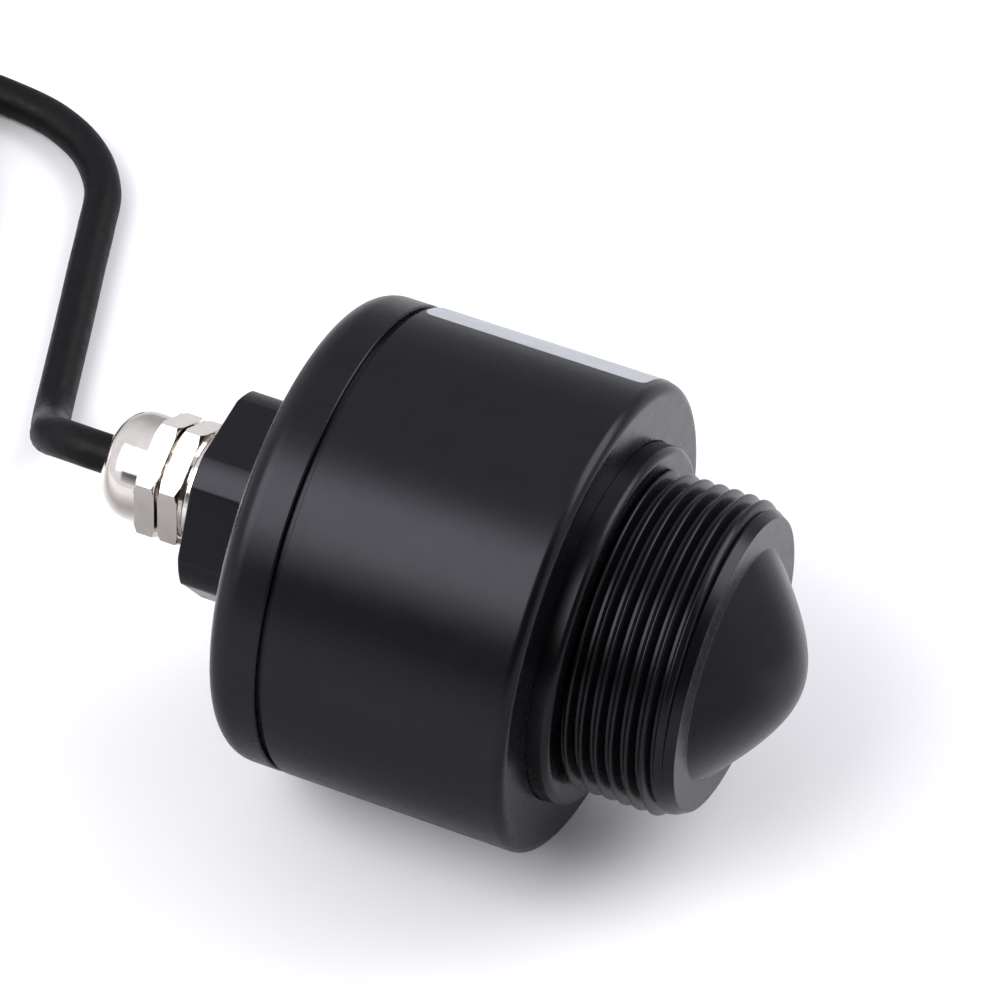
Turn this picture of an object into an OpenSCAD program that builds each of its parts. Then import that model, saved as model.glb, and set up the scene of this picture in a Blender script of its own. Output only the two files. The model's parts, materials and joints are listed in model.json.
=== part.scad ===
// Compact radar level sensor, lying on its side on a flat surface.
// The axis of the sensor runs along +X at half the body's diameter above the surface z = 0.
// Turned and moulded pieces are drawn about their own axis, where the height is the distance
// from the seam towards the nose, and are then laid down together by along_axis().

/* [Housing] */
// Outside diameter of the housing and of its cap
body_d = 71; // [67:0.5:80]
// Length of the housing from the seam to its front face
body_l = 37.2; // [36:0.1:48]
// Thickness of the side wall
body_wall = 3; // [2.5:0.1:3.5]
// Thickness of the front wall
front_t = 4; // [3.5:0.1:5]
// Rounding of the front edge
front_r = 1.8; // [0.5:0.1:2.8]

/* [Rear cap] */
// Thickness of the cap behind the seam
cap_t = 8.7; // [7:0.1:12]
// Rounding of the rear edge
cap_r = 4.3; // [2:0.1:6]
// Thickness of the cap's floor
cap_floor = 4; // [3:0.1:5]
// Width of the groove that shows at the seam
seam_w = 1; // [0.6:0.1:1.6]
// Depth of the groove at the seam
seam_depth = 1; // [0.6:0.1:1.4]
// Chamfer on the cap's edge of the seam
seam_chamfer = 0.35; // [0.2:0.05:0.6]
// Chamfer on the housing's edge of the seam
housing_chamfer = 0.1; // [0.05:0.05:0.3]
// Length of the spigot that screws into the housing
spigot_l = 7; // [6:0.1:7.4]
// Thickness of the spigot's wall
spigot_wall = 3; // [2.6:0.1:3.2]

/* [Wrench boss] */
// Diameter of the turned boss
boss_d = 32; // [31:0.1:34]
// Distance across the boss's six flats
boss_af = 30; // [28:0.1:30.6]
// Length of the boss
boss_l = 13.2; // [12:0.1:16]
// Chamfer on the boss's rear edge
boss_chamfer = 0.5; // [0.2:0.05:1]

/* [Nose] */
// Diameter of the sealing collar
collar_d = 54; // [53:0.1:60]
// Height of the collar
collar_l = 3.3; // [2.5:0.1:5]
// Depth of the seat that the collar is let into
collar_seat = 0.5; // [0.3:0.1:1]
// Rounding of the collar's front edge
collar_r = 1.1; // [0.4:0.1:2]
// Width of the ring nut that holds the nose's neck in the front wall
ring_nut_w = 4.5; // [4:0.1:5]
// Length of the nose from the housing's front face to the flat face round the lens
nose_l = 20.5; // [19:0.1:26]
// Diameter of the flat face round the lens
nose_face_d = 44.1; // [43:0.1:44.6]
// Diameter of the lens at its foot
lens_d = 35; // [33:0.1:38]
// Height of the lens
lens_h = 10.3; // [9:0.1:11]
// Radius of curvature at the tip of the lens
lens_tip_r = 11; // [9:0.1:12]
// Thickness of the nose behind its flat face
lens_back_t = 6; // [4:0.1:7]
// Bulge of the inner face of the lens
lens_back_bulge = 3; // [2:0.1:4]

/* [Nose thread] */
// Outside diameter of the pipe thread
thread_d = 47.8; // [47.6:0.05:48]
// Pitch of the thread
thread_pitch = 2.309; // [2.2:0.001:2.4]
// Depth of the thread
thread_depth = 1.48; // [1.3:0.01:1.5]
// Width of the flat on the crest
thread_crest = 0.42; // [0.3:0.01:0.5]
// Plain run-out between the collar and the middle of the first turn
thread_runout = 1.7; // [1.6:0.1:3]
// Straight steps in one turn of the thread
thread_steps = 48; // [36:6:60]

/* [Cable gland] */
// Distance across the flats of the gland's body and nut
gland_af = 17; // [16:0.1:18]
// Diameter of the gland's threaded stub
stub_d = 15.2; // [14.8:0.1:15.6]
// Length of the threaded stub
stub_l = 8; // [7:0.1:9]
// Thickness of the flat gasket
gasket_t = 0.8; // [0.6:0.1:1.2]
// Diameter of the round shoulder
shoulder_d = 16.8; // [16.2:0.1:17.6]
// Length of the round shoulder
shoulder_l = 2.9; // [2.5:0.1:4]
// Length of the body's hexagon
gland_hex_l = 3.2; // [2.5:0.1:4]
// Gap between the body's hexagon and the nut
nut_gap = 0.5; // [0.3:0.1:0.8]
// Length of the nut's hexagon
nut_hex_l = 3.3; // [2.5:0.1:4]
// Length of the nut's dome
dome_l = 7.1; // [7:0.1:9]
// Diameter of the nut's dome
dome_d = 16.7; // [16.4:0.1:17]
// Diameter of the dome's end face
dome_end_d = 8.4; // [8:0.1:10]

/* [Cable] */
// Diameter of the cable's jacket
cable_d = 6; // [5.6:0.1:6.2]
// Diameter of each insulated core
core_d = 1.2; // [1:0.05:1.3]
// Length of the bare cores at the free end
core_l = 40; // [30:1:50]
// Length of the crimped ferrules
ferrule_l = 8; // [6:0.5:10]
// Diameter of the crimped ferrules
ferrule_d = 1.1; // [0.9:0.05:1.2]

/* [Boards] */
// Thickness of the two circuit boards
board_t = 1.6; // [1.4:0.1:2]
// Clearance between the boards and the side wall
board_gap = 1; // [0.8:0.1:1.5]
// Distance between the housing's front wall and the radar board
front_post_l = 9; // [8.5:0.1:9.5]
// Distance between the main board and the end of the cap's spigot
main_board_gap = 2.4; // [2:0.1:3]
// Distance across the flats of the hexagonal posts
post_af = 5; // [4.5:0.1:5.5]
// Diameter of the screws in the posts
screw_d = 2.5; // [2:0.1:2.6]
// Diameter of the screws' heads
screw_head_d = 4.5; // [4:0.1:5]
// Height of the screws' heads
screw_head_h = 1.8; // [1.5:0.1:2]
// Side of the square radar chip
chip_w = 7; // [6:0.1:8]
// Thickness of the radar chip
chip_t = 0.9; // [0.7:0.1:1]
// Wall of the horn
horn_wall = 1.3; // [1:0.1:1.6]

/* [Label] */
// Length of the blank label along the housing
label_l = 34.5; // [28:0.5:34.5]
// Width of the blank label across the housing
label_w = 38; // [30:0.5:44]
// Thickness of the label
label_t = 0.15; // [0.1:0.01:0.3]
// Turn from the top to the middle of the label, away from the near side
label_turn = 64.5; // [60:0.5:80]
// Rounding of the label's corners
label_r = 1.2; // [1:0.1:4]

/* [Hidden] */
$fn = 96;
FINE = 0.01;
over = 1;
seat_gap = 0.05;
run_gap = 0.15;

body_r = body_d / 2;
bore_r = body_r - body_wall;
cap_rear = -seam_w - cap_t;
boss_rear = cap_rear - boss_l;
front_inside = body_l - front_t;
nose_face = body_l + nose_l;
lens_tip = nose_face + lens_h;

// The gland's stations, counted backwards from the boss
shoulder_front = boss_rear - gasket_t;
hex_front = shoulder_front - shoulder_l;
hex_rear = hex_front - gland_hex_l;
nut_front = hex_rear - nut_gap;
dome_front = nut_front - nut_hex_l;
mouth = dome_front - dome_l;
collet_rear = mouth + 1.6;
collet_nose = 1.2;
neck_rear = collet_rear + 3.4;
neck_out_r = 6.6;
collet_tip_r = cable_d / 2 + 2 * run_gap + collet_nose;
collet_out_r = neck_out_r - 0.6;
nut_step = 0.6;
grommet_r = 4.6;
grommet_front = hex_front;
body_turn = 18;
nut_turn = 24;
hex_round_d = gland_af + 1.2;

// The middle of the whole length lies over the origin
origin_x = (lens_tip + mouth) / 2;
axis_h = body_r;

// Seals
cap_ring_d = 1.8;
cap_ring_at = 3.4;
spigot_r = bore_r - run_gap;
hollow_r = spigot_r - spigot_wall;
hollow_floor = cap_rear + cap_floor;

// Boards, counted backwards from the housing's front wall
radar_front = front_inside - front_post_l;
radar_rear = radar_front - board_t;
main_rear = spigot_l + main_board_gap;
main_front = main_rear + board_t;
rear_post_l = radar_rear - main_front;
board_r = bore_r - board_gap;
board_flat = 2;
post_edge = 3;
post_at = board_r - post_edge;
post_turns = [30, 150, 270];
screw_l = 5;
stud_l = 2.5;

// Parts on the boards: how far out they sit, and their sizes
parts_out = 14;
processor_w = 10;
processor_t = 1.4;
leg = [1, 0.4, 0.5];
header_w = 5;
header_l = 15;
converter_w = 10;
converter_l = 20;
converter_gap = 3.1;
capacitor_d = 8;
capacitor_h = 11;
capacitor_out = 11;
arrester_d = 5.5;
arrester_l = 6;

// Nose and its fastening
collar_foot = body_l - collar_seat;
ring_nut_gap = 0.6;
ring_nut_r = post_at - post_af / 2 / cos(30) - ring_nut_gap;
neck_r = ring_nut_r - ring_nut_w - run_gap;
ring_nut_l = 5;
ring_slot_w = 4;
ring_slot_depth = 2;
neck_end = front_inside - ring_nut_l - 1;
cavity_r = neck_r - 3;
cavity_step = 1;
lens_back = nose_face - lens_back_t;
horn_rim = lens_back - lens_back_bulge - 1;
thread_r = thread_d / 2;
core_r = thread_r - thread_depth;
thread_start = body_l + collar_l + thread_runout;
thread_foot = 0.4;
thread_end = 0.8;
thread_lip = 0.05;
lens_back_flat = 0.04;
lens_tip_flat = 0.012;
flank = tan(27.5);
ridge_half = thread_crest / 2 + (thread_depth + thread_foot) * flank;
thread_turn = -108;
lens_stretch = (pow(lens_d / 2, 2) - 2 * lens_tip_r * lens_h) / pow(lens_h, 2);
nose_ring_d = 1.8;
nose_ring_at = (neck_r + collar_d / 2) / 2;

// Label and cable
jacket_end = hollow_floor + 1.5;
plug_w = 11;
plug_t = 5;
plug_h = 6.5;
plug_at = [0, 0];
plug_rear = main_rear - plug_h - 1.2;
core_pitch = 2.5;
core_grid = 0.95;
core_sides = 8;
free_pitch = 3.2;
cores = 4;
red = "#b3261e";
black = "#1b1b1b";
yellow = "#d8b21f";
blue = "#274f9e";

// Route of the cable from the gland's mouth over the surface to the coil, chosen by hand
exit_x = mouth - origin_x;
lead_points = [
    [exit_x, 0, axis_h], [exit_x - 2, 0, axis_h], [exit_x - 4, 0, axis_h], [-61.7, 0.7, 34.7],
    [-65, 2.1, 33], [-67.5, 4.1, 30.5], [-69.9, 8.2, 26.1], [-72.8, 13.1, 20.5], [-75.6, 18.1, 14.9],
    [-78, 22.1, 10.4],
    [-80.1, 25.8, 6.2], [-82.3, 30.7, 3.6], [-84.3, 36.8, 3.1], [-86.7, 44.5, 3], [-89.4, 53.1, 3],
    [-92.1, 61.6, 3], [-94.6, 69.7, 3], [-97.6, 78, 3], [-103.2, 84.5, 3], [-111.2, 88.8, 3],
    [-121.6, 90.7, 3], [-134, 91, 3]
];
coil_at = [-158, 47.5];
coil_turn_r = 43.5;
coil_turns_across = 4;
coil_layers = 2;
coil_rim_r = coil_turn_r + cable_d / 2;
coil_bore_r = coil_rim_r - coil_turns_across * cable_d;
coil_h = coil_layers * cable_d;
tail_points = [[-201.5, 23.3, 4.7], [-201.5, 16, 3.4], [-201.5, 8, 3], [-201.5, 0, 3]];
cable_sides = 12;
cable_steps = 3;

// Lays a turned piece down: its height runs towards the nose, its x points up and its y to the near side
module along_axis() {
    translate([-origin_x, 0, axis_h])
        rotate([0, 90, 0])
            rotate([0, 0, 180])
                children();
}

// Cuts a rounding of radius r from the corner p of a profile; way points out of the corner
module round_off(p, r, way) {
    c = [p.x - way.x * r, p.y - way.y * r];
    far = [p.x + way.x * over, p.y + way.y * over];
    difference() {
        polygon([c, [far.x, c.y], far, [c.x, far.y]]);
        translate(c)
            circle(r);
    }
}

// Cuts a chamfer of width w from the corner p of a profile
module bevel_off(p, w, way) {
    polygon([
        [p.x - way.x * w, p.y], [p.x - way.x * w, p.y + way.y * over],
        [p.x + way.x * over, p.y + way.y * over], [p.x + way.x * over, p.y - way.y * w],
        [p.x, p.y - way.y * w]
    ]);
}

// A rectangle of a profile, from radius a to b and from height s to t
module band(a, b, s, t) {
    translate([a, s])
        square([b - a, t - s]);
}

// A hexagonal prism of a given width across flats, from height s to t
module hex_bar(af, s, t, turn = 0) {
    translate([0, 0, s])
        rotate([0, 0, 30 + turn])
            cylinder(r = af / 2 / cos(30), h = t - s, $fn = 6);
}

// A round ring of section diameter d, whose middle line has radius r and height s
module seal_ring(r, d, s) {
    translate([0, 0, s])
        rotate_extrude()
            translate([r, 0])
                circle(d / 2);
}

// Repeats a child at the posts of the boards
module at_posts() {
    for (turn = post_turns)
        rotate([0, 0, turn])
            translate([post_at, 0, 0])
                children();
}

module housing() {
    color("#1c1c1e")
        along_axis()
            difference() {
                rotate_extrude()
                    difference() {
                        band(0, body_r, 0, body_l);
                        band(-over, bore_r, -over, front_inside);
                        band(-over, neck_r + run_gap, 0, body_l + over);
                        band(-over, collar_d / 2 + seat_gap, collar_foot, body_l + over);
                        band(nose_ring_at - nose_ring_d / 2 - seat_gap,
                             nose_ring_at + nose_ring_d / 2 + seat_gap,
                             collar_foot - nose_ring_d - seat_gap, body_l);
                        round_off([body_r, body_l], front_r, [1, 1]);
                        bevel_off([body_r, 0], housing_chamfer, [1, -1]);
                    }
                at_posts()
                    translate([0, 0, front_inside - over])
                        cylinder(d = screw_d + 2 * seat_gap, h = over + stud_l + seat_gap);
            }
}

module rear_cap() {
    color("#1c1c1e")
        along_axis()
            difference() {
                union() {
                    rotate_extrude()
                        difference() {
                            union() {
                                band(0, body_r, cap_rear, -seam_w);
                                band(0, body_r - seam_depth, -seam_w - over, 0);
                                band(0, spigot_r, -over, spigot_l);
                            }
                            round_off([body_r, cap_rear], cap_r, [1, -1]);
                            bevel_off([body_r, -seam_w], seam_chamfer, [1, 1]);
                            band(bore_r - cap_ring_d, spigot_r + over,
                                 cap_ring_at - cap_ring_d / 2 - seat_gap,
                                 cap_ring_at + cap_ring_d / 2 + seat_gap);
                        }
                    intersection() {
                        rotate_extrude()
                            difference() {
                                band(0, boss_d / 2, boss_rear, cap_rear + over);
                                bevel_off([boss_d / 2, boss_rear], boss_chamfer, [1, -1]);
                            }
                        hex_bar(boss_af, boss_rear - over, cap_rear + 2 * over);
                    }
                }
                rotate_extrude() {
                    band(0, hollow_r, hollow_floor, spigot_l + over);
                    band(0, stub_d / 2 + seat_gap, boss_rear - over, boss_rear + stub_l + over);
                    band(0, stub_d / 2 - 2, boss_rear, hollow_floor + over);
                }
            }
}

module cap_seal_ring() {
    d = cap_ring_d - 2 * seat_gap;
    color("#101010")
        along_axis()
            seal_ring(bore_r - d / 2 - seat_gap, d, cap_ring_at);
}

// Radius of the lens at a distance h from its tip, as a hyperbola
function lens_radius(h) = sqrt(2 * lens_tip_r * h + lens_stretch * h * h);

// Points of the lens from its foot to the small flat at its tip
function lens_points(n = 28) = [
    for (i = [0:n])
        let (h = lens_tip_flat + (lens_h - lens_tip_flat) * pow(1 - i / n, 1.6))
            [lens_radius(h), lens_tip - h],
    [0, lens_tip - lens_tip_flat]
];

// Radius that the chamfer at the nose leaves at a height s
function chamfer_radius(s) = nose_face_d / 2 + (nose_face - s) * 0.75;

// Four corners of the thread's ridge at step i; the last turn ends at the flat face and its chamfer
function ridge_section(i) =
    let (
        turn = 360 * i / thread_steps,
        s = thread_start + thread_pitch * i / thread_steps,
        foot = core_r - thread_foot,
        grown = min(1, (i + 1) / (thread_steps / 3)),
        top = min(foot + (thread_depth + thread_foot) * grown, chamfer_radius(s)),
        tip = max(thread_crest / 2, ridge_half - (top - foot) * flank)
    )
    [
        for (c = [[foot, -ridge_half], [top, -tip], [top, tip], [foot, ridge_half]])
            let (
                height = min(s + c[1], nose_face - thread_lip),
                r = max(foot, min(c[0], chamfer_radius(height)))
            )
            [r * cos(turn), r * sin(turn), height]
    ];

// The ridge of the pipe thread, as one helix whose ends run out
module thread_ridge() {
    run = nose_face - thread_end - thread_start;
    n = floor(run / thread_pitch * thread_steps);
    last = 4 * n;
    polyhedron(
        points = [for (i = [0:n]) each ridge_section(i)],
        faces = concat(
            [[3, 2, 1, 0]],
            [
                for (i = [0:n - 1])
                    for (k = [0:3])
                        let (a = 4 * i + k, b = 4 * i + (k + 1) % 4)
                            each [[a, b, a + 4], [a + 4, b, b + 4]]
            ],
            [[last, last + 1, last + 2, last + 3]]
        )
    );
}

module antenna_nose() {
    back_r = (pow(cavity_r, 2) + pow(lens_back_bulge, 2)) / (2 * lens_back_bulge);
    color("#1a1a1c")
        along_axis() {
            rotate_extrude()
                difference() {
                    union() {
                        band(0, neck_r, neck_end, body_l + over);
                        difference() {
                            band(0, collar_d / 2, collar_foot, body_l + collar_l);
                            round_off([collar_d / 2, body_l + collar_l], collar_r, [1, 1]);
                        }
                        polygon(concat(
                            [
                                [0, body_l], [core_r, body_l],
                                [core_r, nose_face - (core_r - nose_face_d / 2)],
                                [nose_face_d / 2, nose_face]
                            ],
                            lens_points()
                        ));
                    }
                    difference() {
                        union() {
                            band(-over, cavity_r, neck_end - over, horn_rim);
                            band(-over, cavity_r - cavity_step, neck_end, lens_back);
                        }
                        intersection() {
                            translate([0, lens_back - lens_back_bulge + back_r])
                                circle(back_r, $fn = 180);
                            band(0, cavity_r, lens_back - lens_back_bulge + lens_back_flat, nose_face);
                        }
                    }
                }
            rotate([0, 0, thread_turn])
                thread_ridge();
        }
}

module nose_seal_ring() {
    d = nose_ring_d - 2 * seat_gap;
    color("#101010")
        along_axis()
            seal_ring(nose_ring_at, d, collar_foot - nose_ring_d / 2 - seat_gap);
}

// The slotted ring that draws the nose against the front wall
module nose_ring_nut() {
    slots = 4;
    color("#b8b4aa")
        along_axis()
            difference() {
                rotate_extrude()
                    band(neck_r + run_gap, ring_nut_r, front_inside - ring_nut_l, front_inside);
                for (i = [0:slots - 1])
                    rotate([0, 0, 360 / slots * i])
                        translate([
                            ring_nut_r - ring_slot_depth, -ring_slot_w / 2, front_inside - ring_nut_l - over
                        ])
                            cube([ring_slot_depth + over, ring_slot_w, ring_slot_depth + over]);
            }
}

// A plain sticker with round corners, bent round the housing
module blank_label() {
    s = (body_l - front_r + housing_chamfer) / 2;
    w = label_w / 2 - label_r;
    l = label_l / 2 - label_r;
    color("#dddcea")
        along_axis()
            rotate([0, 0, -label_turn])
                intersection() {
                    rotate_extrude()
                        band(body_r, body_r + label_t, s - label_l / 2, s + label_l / 2);
                    translate([0, 0, s])
                        rotate([0, 90, 0])
                            linear_extrude(body_r + over) {
                                square([label_l, label_w - 2 * label_r], center = true);
                                square([label_l - 2 * label_r, label_w], center = true);
                                for (x = [-l, l], y = [-w, w])
                                    translate([x, y])
                                        circle(label_r);
                            }
                }
}

module gland_gasket() {
    color("#141414")
        along_axis()
            rotate_extrude()
                band(stub_d / 2 + seat_gap, shoulder_d / 2 - 0.3, shoulder_front, boss_rear);
}

module gland_body() {
    groove = 0.5;
    color("#c9c3b6")
        along_axis()
            difference() {
                union() {
                    rotate_extrude() {
                        difference() {
                            band(0, stub_d / 2, shoulder_front - over, boss_rear + stub_l);
                            bevel_off([stub_d / 2, boss_rear + stub_l], 0.6, [1, 1]);
                        }
                        difference() {
                            band(0, shoulder_d / 2, hex_front + groove, shoulder_front);
                            round_off([shoulder_d / 2, shoulder_front], groove, [1, 1]);
                            round_off([shoulder_d / 2, hex_front + groove], groove, [1, -1]);
                        }
                        band(0, shoulder_d / 2 - groove, hex_front - over, hex_front + over);
                        difference() {
                            band(0, neck_out_r, neck_rear, hex_rear + over);
                            bevel_off([neck_out_r, neck_rear], 0.5, [1, -1]);
                        }
                    }
                    hex_part(gland_af, hex_rear, hex_front, hex_round_d, body_turn);
                }
                rotate_extrude() {
                    band(0, grommet_r + seat_gap, neck_rear - over, grommet_front + seat_gap);
                    band(0, cable_d / 2 + run_gap, grommet_front, boss_rear + stub_l + over);
                }
            }
}

// A hexagon from height s to t, whose corners are turned off towards a round of diameter d at both ends
module hex_part(af, s, t, d, turn) {
    corner_r = af / 2 / cos(30) + FINE;
    drop = (corner_r - d / 2) * tan(30);
    intersection() {
        hex_bar(af, s - over, t + over, turn);
        rotate_extrude()
            polygon([
                [0, s], [d / 2, s], [corner_r, s + drop], [corner_r, t - drop], [d / 2, t], [0, t]
            ]);
    }
}

// The springy ring that the nut closes on the cable
module gland_collet() {
    fingers = 8;
    slot_w = 0.8;
    color("#e8e6dc")
        along_axis()
            difference() {
                rotate_extrude()
                    polygon([
                        [grommet_r + seat_gap, collet_rear + collet_nose],
                        [collet_tip_r - collet_nose, collet_rear],
                        [collet_tip_r, collet_rear],
                        [collet_out_r, neck_rear - seat_gap],
                        [grommet_r + seat_gap, neck_rear - seat_gap]
                    ]);
                for (i = [0:fingers - 1])
                    rotate([0, 0, 360 / fingers * i])
                        translate([0, -slot_w / 2, collet_rear - over])
                            cube([body_r, slot_w, over + neck_rear - collet_rear - 0.9]);
            }
}

module gland_grommet() {
    color("#202020")
        along_axis()
            rotate_extrude()
                band(cable_d / 2 + seat_gap, grommet_r, collet_rear + collet_nose + seat_gap, grommet_front);
}

// The dome nut: a hexagon, then a rounded dome
module gland_nut() {
    r = dome_d / 2;
    end_r = dome_end_d / 2;
    round_s = dome_l - 2.4;
    arc_step = 7.5;
    color("#cfc9bc")
        along_axis()
            difference() {
                union() {
                    hex_part(gland_af, dome_front, nut_front, hex_round_d, nut_turn);
                    rotate_extrude()
                        polygon(concat(
                            [[0, mouth], [end_r, mouth]],
                            [
                                for (a = [arc_step:arc_step:90])
                                    [end_r + (r - end_r) * sin(a), mouth + round_s * (1 - cos(a))]
                            ],
                            [[r, dome_front + over], [0, dome_front + over]]
                        ));
                }
                rotate_extrude() {
                    band(0, neck_out_r + run_gap, neck_rear - nut_step, nut_front + over);
                    polygon([
                        [0, mouth - over], [cable_d / 2 + run_gap, mouth - over],
                        [cable_d / 2 + run_gap, collet_rear - seat_gap],
                        [collet_tip_r + seat_gap, collet_rear - seat_gap],
                        [collet_out_r + 2 * seat_gap, neck_rear - nut_step], [0, neck_rear - nut_step]
                    ]);
                }
            }
}

// The metal-lined horn that guides the beam from the chip to the lens
module horn() {
    throat_r = chip_w / 2 * sqrt(2) + 0.3;
    flange_r = 13;
    flange_t = 1.6;
    rim_r = cavity_r - run_gap;
    mouth_r = rim_r - 1.2;
    color("#c2a463")
        along_axis()
            rotate_extrude()
                polygon([
                    [throat_r, radar_front], [flange_r, radar_front], [flange_r, radar_front + flange_t],
                    [throat_r + horn_wall + 0.4, radar_front + flange_t],
                    [mouth_r, horn_rim - 2.2], [rim_r, horn_rim - 2.2], [rim_r, horn_rim - seat_gap],
                    [mouth_r - horn_wall + 0.3, horn_rim - seat_gap], [throat_r - 1.4, radar_front + flange_t],
                    [throat_r - 1.4, radar_front + chip_t + 0.3], [throat_r, radar_front + chip_t + 0.3]
                ]);
}

module board(s, t) {
    difference() {
        rotate_extrude()
            band(0, board_r, s, t);
        translate([board_r - board_flat, -body_r, s - over])
            cube([body_r, 2 * body_r, t - s + 2 * over]);
        at_posts()
            translate([0, 0, s - over])
                cylinder(d = screw_d + 2 * seat_gap, h = t - s + 2 * over);
    }
}

module radar_board() {
    color("#1d5a3a")
        along_axis()
            board(radar_rear, radar_front);
}

module main_board() {
    color("#1d5a3a")
        along_axis()
            board(main_rear, main_front);
}

module radar_chip() {
    color("#2a2a2c")
        along_axis()
            translate([-chip_w / 2, -chip_w / 2, radar_front])
                cube([chip_w, chip_w, chip_t]);
}

// A flat package with a row of legs on each side, on the rear of the radar board
module processor() {
    w = processor_w;
    legs = 8;
    step = w * 0.8 / (legs - 1);
    color("#2a2a2c")
        along_axis()
            translate([-parts_out, 0, radar_rear - processor_t]) {
                translate([-w / 2, -w / 2, 0])
                    cube([w, w, processor_t - seat_gap]);
                for (side = [0:3], i = [0:legs - 1])
                    rotate([0, 0, 90 * side])
                        translate([
                            w / 2 - leg.x / 4, (i - (legs - 1) / 2) * step - leg.y / 2, processor_t - leg.z
                        ])
                            cube(leg);
            }
}

// A threaded post with a stud at its nose end; its bore takes the next stud or a screw
module post(s, t) {
    difference() {
        union() {
            translate([0, 0, s])
                rotate([0, 0, 30])
                    cylinder(r = post_af / 2 / cos(30), h = t - s, $fn = 6);
            translate([0, 0, t - over])
                cylinder(d = screw_d, h = stud_l + over);
        }
        translate([0, 0, s - over])
            cylinder(d = screw_d + 2 * seat_gap, h = over + screw_l);
    }
}

module front_posts() {
    color("#cdb46a")
        along_axis()
            at_posts()
                post(radar_front, front_inside);
}

module rear_posts() {
    color("#cdb46a")
        along_axis()
            at_posts()
                post(main_front, radar_rear);
}

module board_screws() {
    cross_w = 0.6;
    cross_l = 2.6;
    color("#b9bcc0")
        along_axis()
            at_posts()
                difference() {
                    union() {
                        translate([0, 0, main_rear - screw_head_h])
                            cylinder(d = screw_head_d, h = screw_head_h);
                        translate([0, 0, main_rear - over])
                            cylinder(d = screw_d, h = over + board_t + screw_l - over);
                    }
                    for (turn = [0, 90])
                        rotate([0, 0, turn])
                            translate([-cross_l / 2, -cross_w / 2, main_rear - screw_head_h - over])
                                cube([cross_l, cross_w, over + screw_head_h / 2]);
                }
}

// The plug-in header that joins the two boards
module board_header() {
    color("#222222")
        along_axis()
            translate([parts_out, -header_l / 2, main_front])
                cube([header_w, header_l, rear_post_l]);
}

module power_converter() {
    color("#26282c")
        along_axis()
            translate([-parts_out - converter_w / 2, -converter_l / 2, main_front])
                cube([converter_w, converter_l, rear_post_l - converter_gap]);
}

module storage_capacitors() {
    d = capacitor_d;
    vent_w = d / 20;
    color("#31425e")
        along_axis()
            for (y = [-capacitor_out, capacitor_out])
                translate([-parts_out, y, main_rear - capacitor_h])
                    difference() {
                        cylinder(d = d, h = capacitor_h);
                        for (turn = [0, 90])
                            rotate([0, 0, turn])
                                translate([-d / 3, -vent_w / 2, -over])
                                    cube([2 * d / 3, vent_w, over + vent_w]);
                    }
}

module surge_arrester() {
    color("#d9d6cc")
        along_axis()
            translate([-arrester_l / 2 - parts_out, 0, main_rear - arrester_d / 2])
                rotate([0, 90, 0])
                    cylinder(d = arrester_d, h = arrester_l);
}

// The socket on the main board and the plug on the cable's cores
module cable_socket() {
    wall = 0.8;
    size = [plug_t + 2 * wall + 2 * run_gap, plug_w + 2 * wall + 2 * run_gap];
    color("#e6e2d4")
        along_axis()
            translate([plug_at.x, plug_at.y, main_rear - plug_h])
                difference() {
                    translate([-size.x / 2, -size.y / 2, 0])
                        cube([size.x, size.y, plug_h]);
                    translate([-size.x / 2 + wall, -size.y / 2 + wall, -over])
                        cube([size.x - 2 * wall, size.y - 2 * wall, plug_h - wall + over]);
                }
}

module cable_plug() {
    wall = 0.8;
    color("#d8d4c4")
        along_axis()
            translate([plug_at.x - plug_t / 2, plug_at.y - plug_w / 2, plug_rear])
                cube([plug_t, plug_w, main_rear - wall - run_gap - plug_rear]);
}

// The stretch of jacket inside the gland and the boss
module inner_cable() {
    color("#1a1a1a")
        along_axis()
            rotate_extrude()
                band(0, cable_d / 2, mouth, jacket_end);
}

// A smooth curve through points, with a number of steps between each two
function smooth_route(p, steps) =
    let (n = len(p) - 1)
    concat(
        [
            for (i = [0:n - 1])
                let (a = p[max(i - 1, 0)], b = p[i], c = p[i + 1], d = p[min(i + 2, n)])
                    for (k = [0:steps - 1])
                        let (t = k / steps)
                            (2 * b + (c - a) * t + (2 * a - 5 * b + 4 * c - d) * t * t
                             + (3 * b - 3 * c + d - a) * t * t * t) / 2
        ],
        [p[n]]
    );

// Keeps a route of radius r from sinking into the surface
function rested(p, r) = [for (q = p) [q.x, q.y, max(q.z, r)]];

function unit(v) = v / norm(v);

// A round tube along the points p, closed at both ends; side gives a direction across all of it
module swept_tube(p, r, sides, side) {
    n = len(p) - 1;
    points = [
        for (i = [0:n])
            let (
                t = unit(p[min(i + 1, n)] - p[max(i - 1, 0)]),
                u = unit(cross(side, t)),
                v = cross(t, u)
            )
                for (k = [0:sides - 1])
                    p[i] + r * (u * cos(360 * k / sides) + v * sin(360 * k / sides))
    ];
    polyhedron(
        points = points,
        faces = concat(
            [[for (k = [0:sides - 1]) k]],
            [
                for (i = [0:n - 1])
                    for (k = [0:sides - 1])
                        let (a = sides * i + k, b = sides * i + (k + 1) % sides)
                            each [[a, a + sides, b], [b, a + sides, b + sides]]
            ],
            [[for (k = [sides - 1:-1:0]) sides * n + k]]
        )
    );
}

// Place of core i inside the jacket: two above two
function core_place(i) = core_grid * [i == 0 || i == cores - 1 ? -1 : 1, i < cores / 2 ? -1 : 1];

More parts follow.
